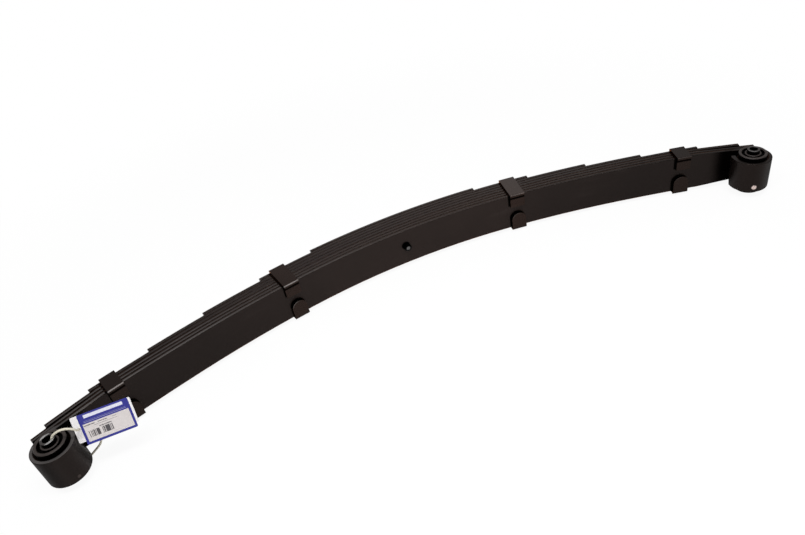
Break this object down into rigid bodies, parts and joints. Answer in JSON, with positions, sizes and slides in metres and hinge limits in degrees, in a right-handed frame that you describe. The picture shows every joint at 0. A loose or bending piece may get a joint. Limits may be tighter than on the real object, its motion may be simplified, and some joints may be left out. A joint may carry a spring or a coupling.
{
  "type": "leaf spring",
  "caption": "Semi-elliptic multi-leaf spring with rolled upturned eyes, bonded rubber bushes, four folded rebound clips, a centre bolt and a hang tag.",
  "frame": {"origin": "on the centre bolt's axis, on the main leaf's concave face, at mid-width", "axes": "+X along the chord, +Y from the concave side to the convex side, +Z across the leaves' width; the spring lies on its side"},
  "size_m": [1.193, 0.2484, 0.0912],
  "materials": {
    "spring_paint": "satin",
    "clip_paint": "satin",
    "bush_rubber": "matte",
    "bare_steel": "satin",
    "card_white": "matte",
    "label_print": "satin",
    "string_cream": "matte"
  },
  "bodies": {
    "spring": {"main_leaf": "spring_paint", "leaf_2": "spring_paint", "leaf_3": "spring_paint", "leaf_4": "spring_paint", "leaf_5": "spring_paint", "leaf_6": "spring_paint", "leaf_7": "spring_paint", "leaf_8": "spring_paint", "bush_sleeve_left": "spring_paint", "bush_rubber_left": "bush_rubber", "clip_outer_left": "clip_paint", "rivet_outer_left": "clip_paint", "clip_inner_left": "clip_paint", "rivet_inner_left": "clip_paint", "bush_sleeve_right": "spring_paint", "bush_rubber_right": "bush_rubber", "clip_outer_right": "clip_paint", "rivet_outer_right": "clip_paint", "clip_inner_right": "clip_paint", "rivet_inner_right": "clip_paint", "centre_bolt": "bare_steel", "centre_nut": "bare_steel", "tag_card": "card_white", "tag_label": "label_print", "tag_string": "string_cream"},
    "left_tube": {"bush_tube_left": "bare_steel"},
    "right_tube": {"bush_tube_right": "bare_steel"}
  },
  "joints": [
    {"name": "left_bush_twist", "type": "hinge", "parent": "spring", "child": "left_tube", "pos_m": [-0.56724, -0.15057, 0], "axis": [0, 0, 1], "range_deg": [-20, 20], "stiffness_Nm_per_rad": 40},
    {"name": "right_bush_twist", "type": "hinge", "parent": "spring", "child": "right_tube", "pos_m": [0.56724, -0.15057, 0], "axis": [0, 0, 1], "range_deg": [-20, 20], "stiffness_Nm_per_rad": 40}
  ]
}
